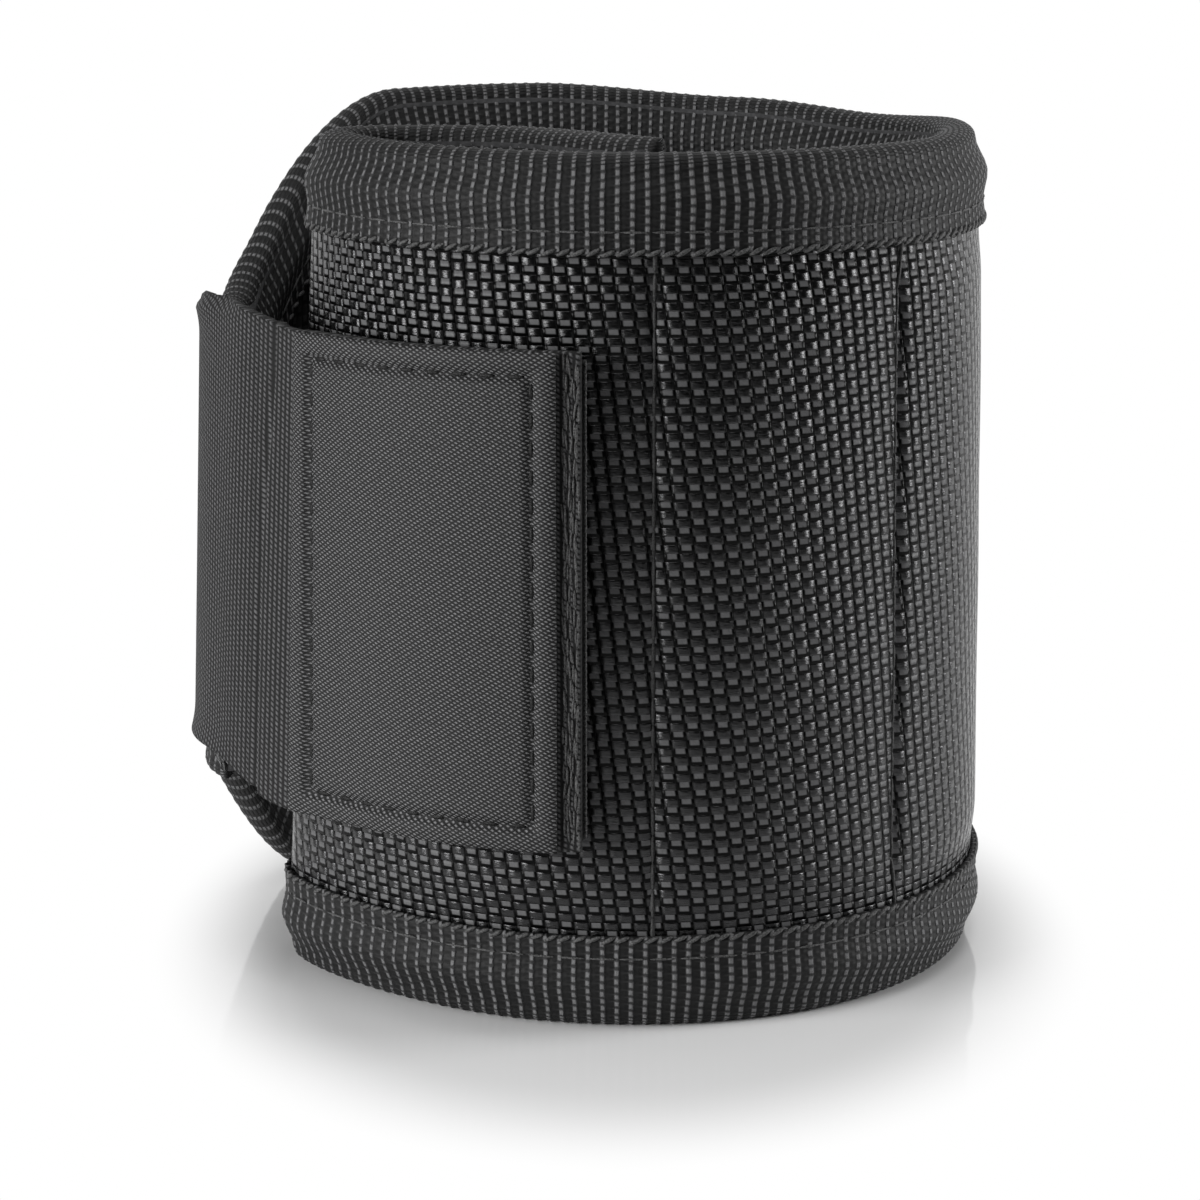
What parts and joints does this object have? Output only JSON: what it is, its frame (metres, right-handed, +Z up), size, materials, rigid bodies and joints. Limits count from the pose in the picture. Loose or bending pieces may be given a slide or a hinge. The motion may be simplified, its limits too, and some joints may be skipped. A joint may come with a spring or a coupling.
{
  "type": "magnetic wristband",
  "caption": "Padded fabric wristband closed into a loop, with magnets in stitched pockets to hold small steel parts, bound edges, and an elastic strap with a hook-and-loop tab.",
  "frame": {"origin": "middle of the footprint's box, on the surface that the lower edge stands on", "axes": "+Z up along the loop, from the lower edge to the upper edge; -Y towards the front with the closing tab; +X to the right seen from the front"},
  "size_m": [0.0854, 0.0808, 0.09],
  "materials": {
    "outer_fabric": "coarse basket-woven ballistic nylon, charcoal black, slightly glossy yarns",
    "foam": "closed-cell foam padding, dark grey, hidden inside",
    "lining_mesh": "soft breathable spacer mesh, black",
    "binding_tape": "ribbed woven binding tape, charcoal black, matt",
    "magnet": "nickel-plated neodymium block, hidden inside",
    "loop_pile": "soft loop pile of a hook-and-loop closure, black",
    "elastic_webbing": "finely ribbed elastic webbing, charcoal, matt",
    "hook_tape": "moulded nylon hooks of a hook-and-loop closure, black",
    "label_twill": "fine twill-woven label, bare of print, charcoal"
  },
  "bodies": {
    "front": {"outer_shell_front": "outer_fabric", "padding_front": "foam", "lining_front": "lining_mesh", "top_binding_front": "binding_tape", "bottom_binding_front": "binding_tape", "loop_patch": "loop_pile", "magnet_1_top": "magnet", "magnet_1_middle": "magnet", "magnet_1_bottom": "magnet", "magnet_2_top": "magnet", "magnet_2_middle": "magnet", "magnet_2_bottom": "magnet", "magnet_3_top": "magnet", "magnet_3_middle": "magnet", "magnet_3_bottom": "magnet"},
    "tail": {"outer_shell_tail": "outer_fabric", "padding_tail": "foam", "lining_tail": "lining_mesh", "top_binding_tail": "binding_tape", "bottom_binding_tail": "binding_tape", "end_binding": "binding_tape"},
    "back": {"outer_shell_back": "outer_fabric", "padding_back": "foam", "lining_back": "lining_mesh", "top_binding_back": "binding_tape", "bottom_binding_back": "binding_tape", "strap_anchor": "elastic_webbing", "magnet_4_top": "magnet", "magnet_4_middle": "magnet", "magnet_4_bottom": "magnet", "magnet_5_top": "magnet", "magnet_5_middle": "magnet", "magnet_5_bottom": "magnet"},
    "strap": {"strap_elastic": "elastic_webbing"},
    "tab": {"tab_webbing": "elastic_webbing", "hook_patch": "hook_tape", "label_patch": "label_twill"}
  },
  "joints": [
    {"name": "band_open", "type": "hinge", "parent": "front", "child": "back", "pos_m": [0.04294, 0.00123, 0.045], "axis": [0, 0, -1], "range_deg": [0, 50]},
    {"name": "tail_flex", "type": "hinge", "parent": "front", "child": "tail", "pos_m": [-0.02558, -0.02317, 0.045], "axis": [0, 0, 1], "range_deg": [0, 15]},
    {"name": "strap_swing", "type": "hinge", "parent": "back", "child": "strap", "pos_m": [-0.03995, -0.01379, 0.045], "axis": [0, 0, -1], "range_deg": [0, 150]},
    {"name": "tab_peel", "type": "hinge", "parent": "strap", "child": "tab", "pos_m": [-0.0307, -0.02466, 0.045], "axis": [0, 0, -1], "range_deg": [0, 90]}
  ],
  "couplings": [
    {"joint": "strap_swing", "follows": "band_open", "ratio": 3}
  ]
}
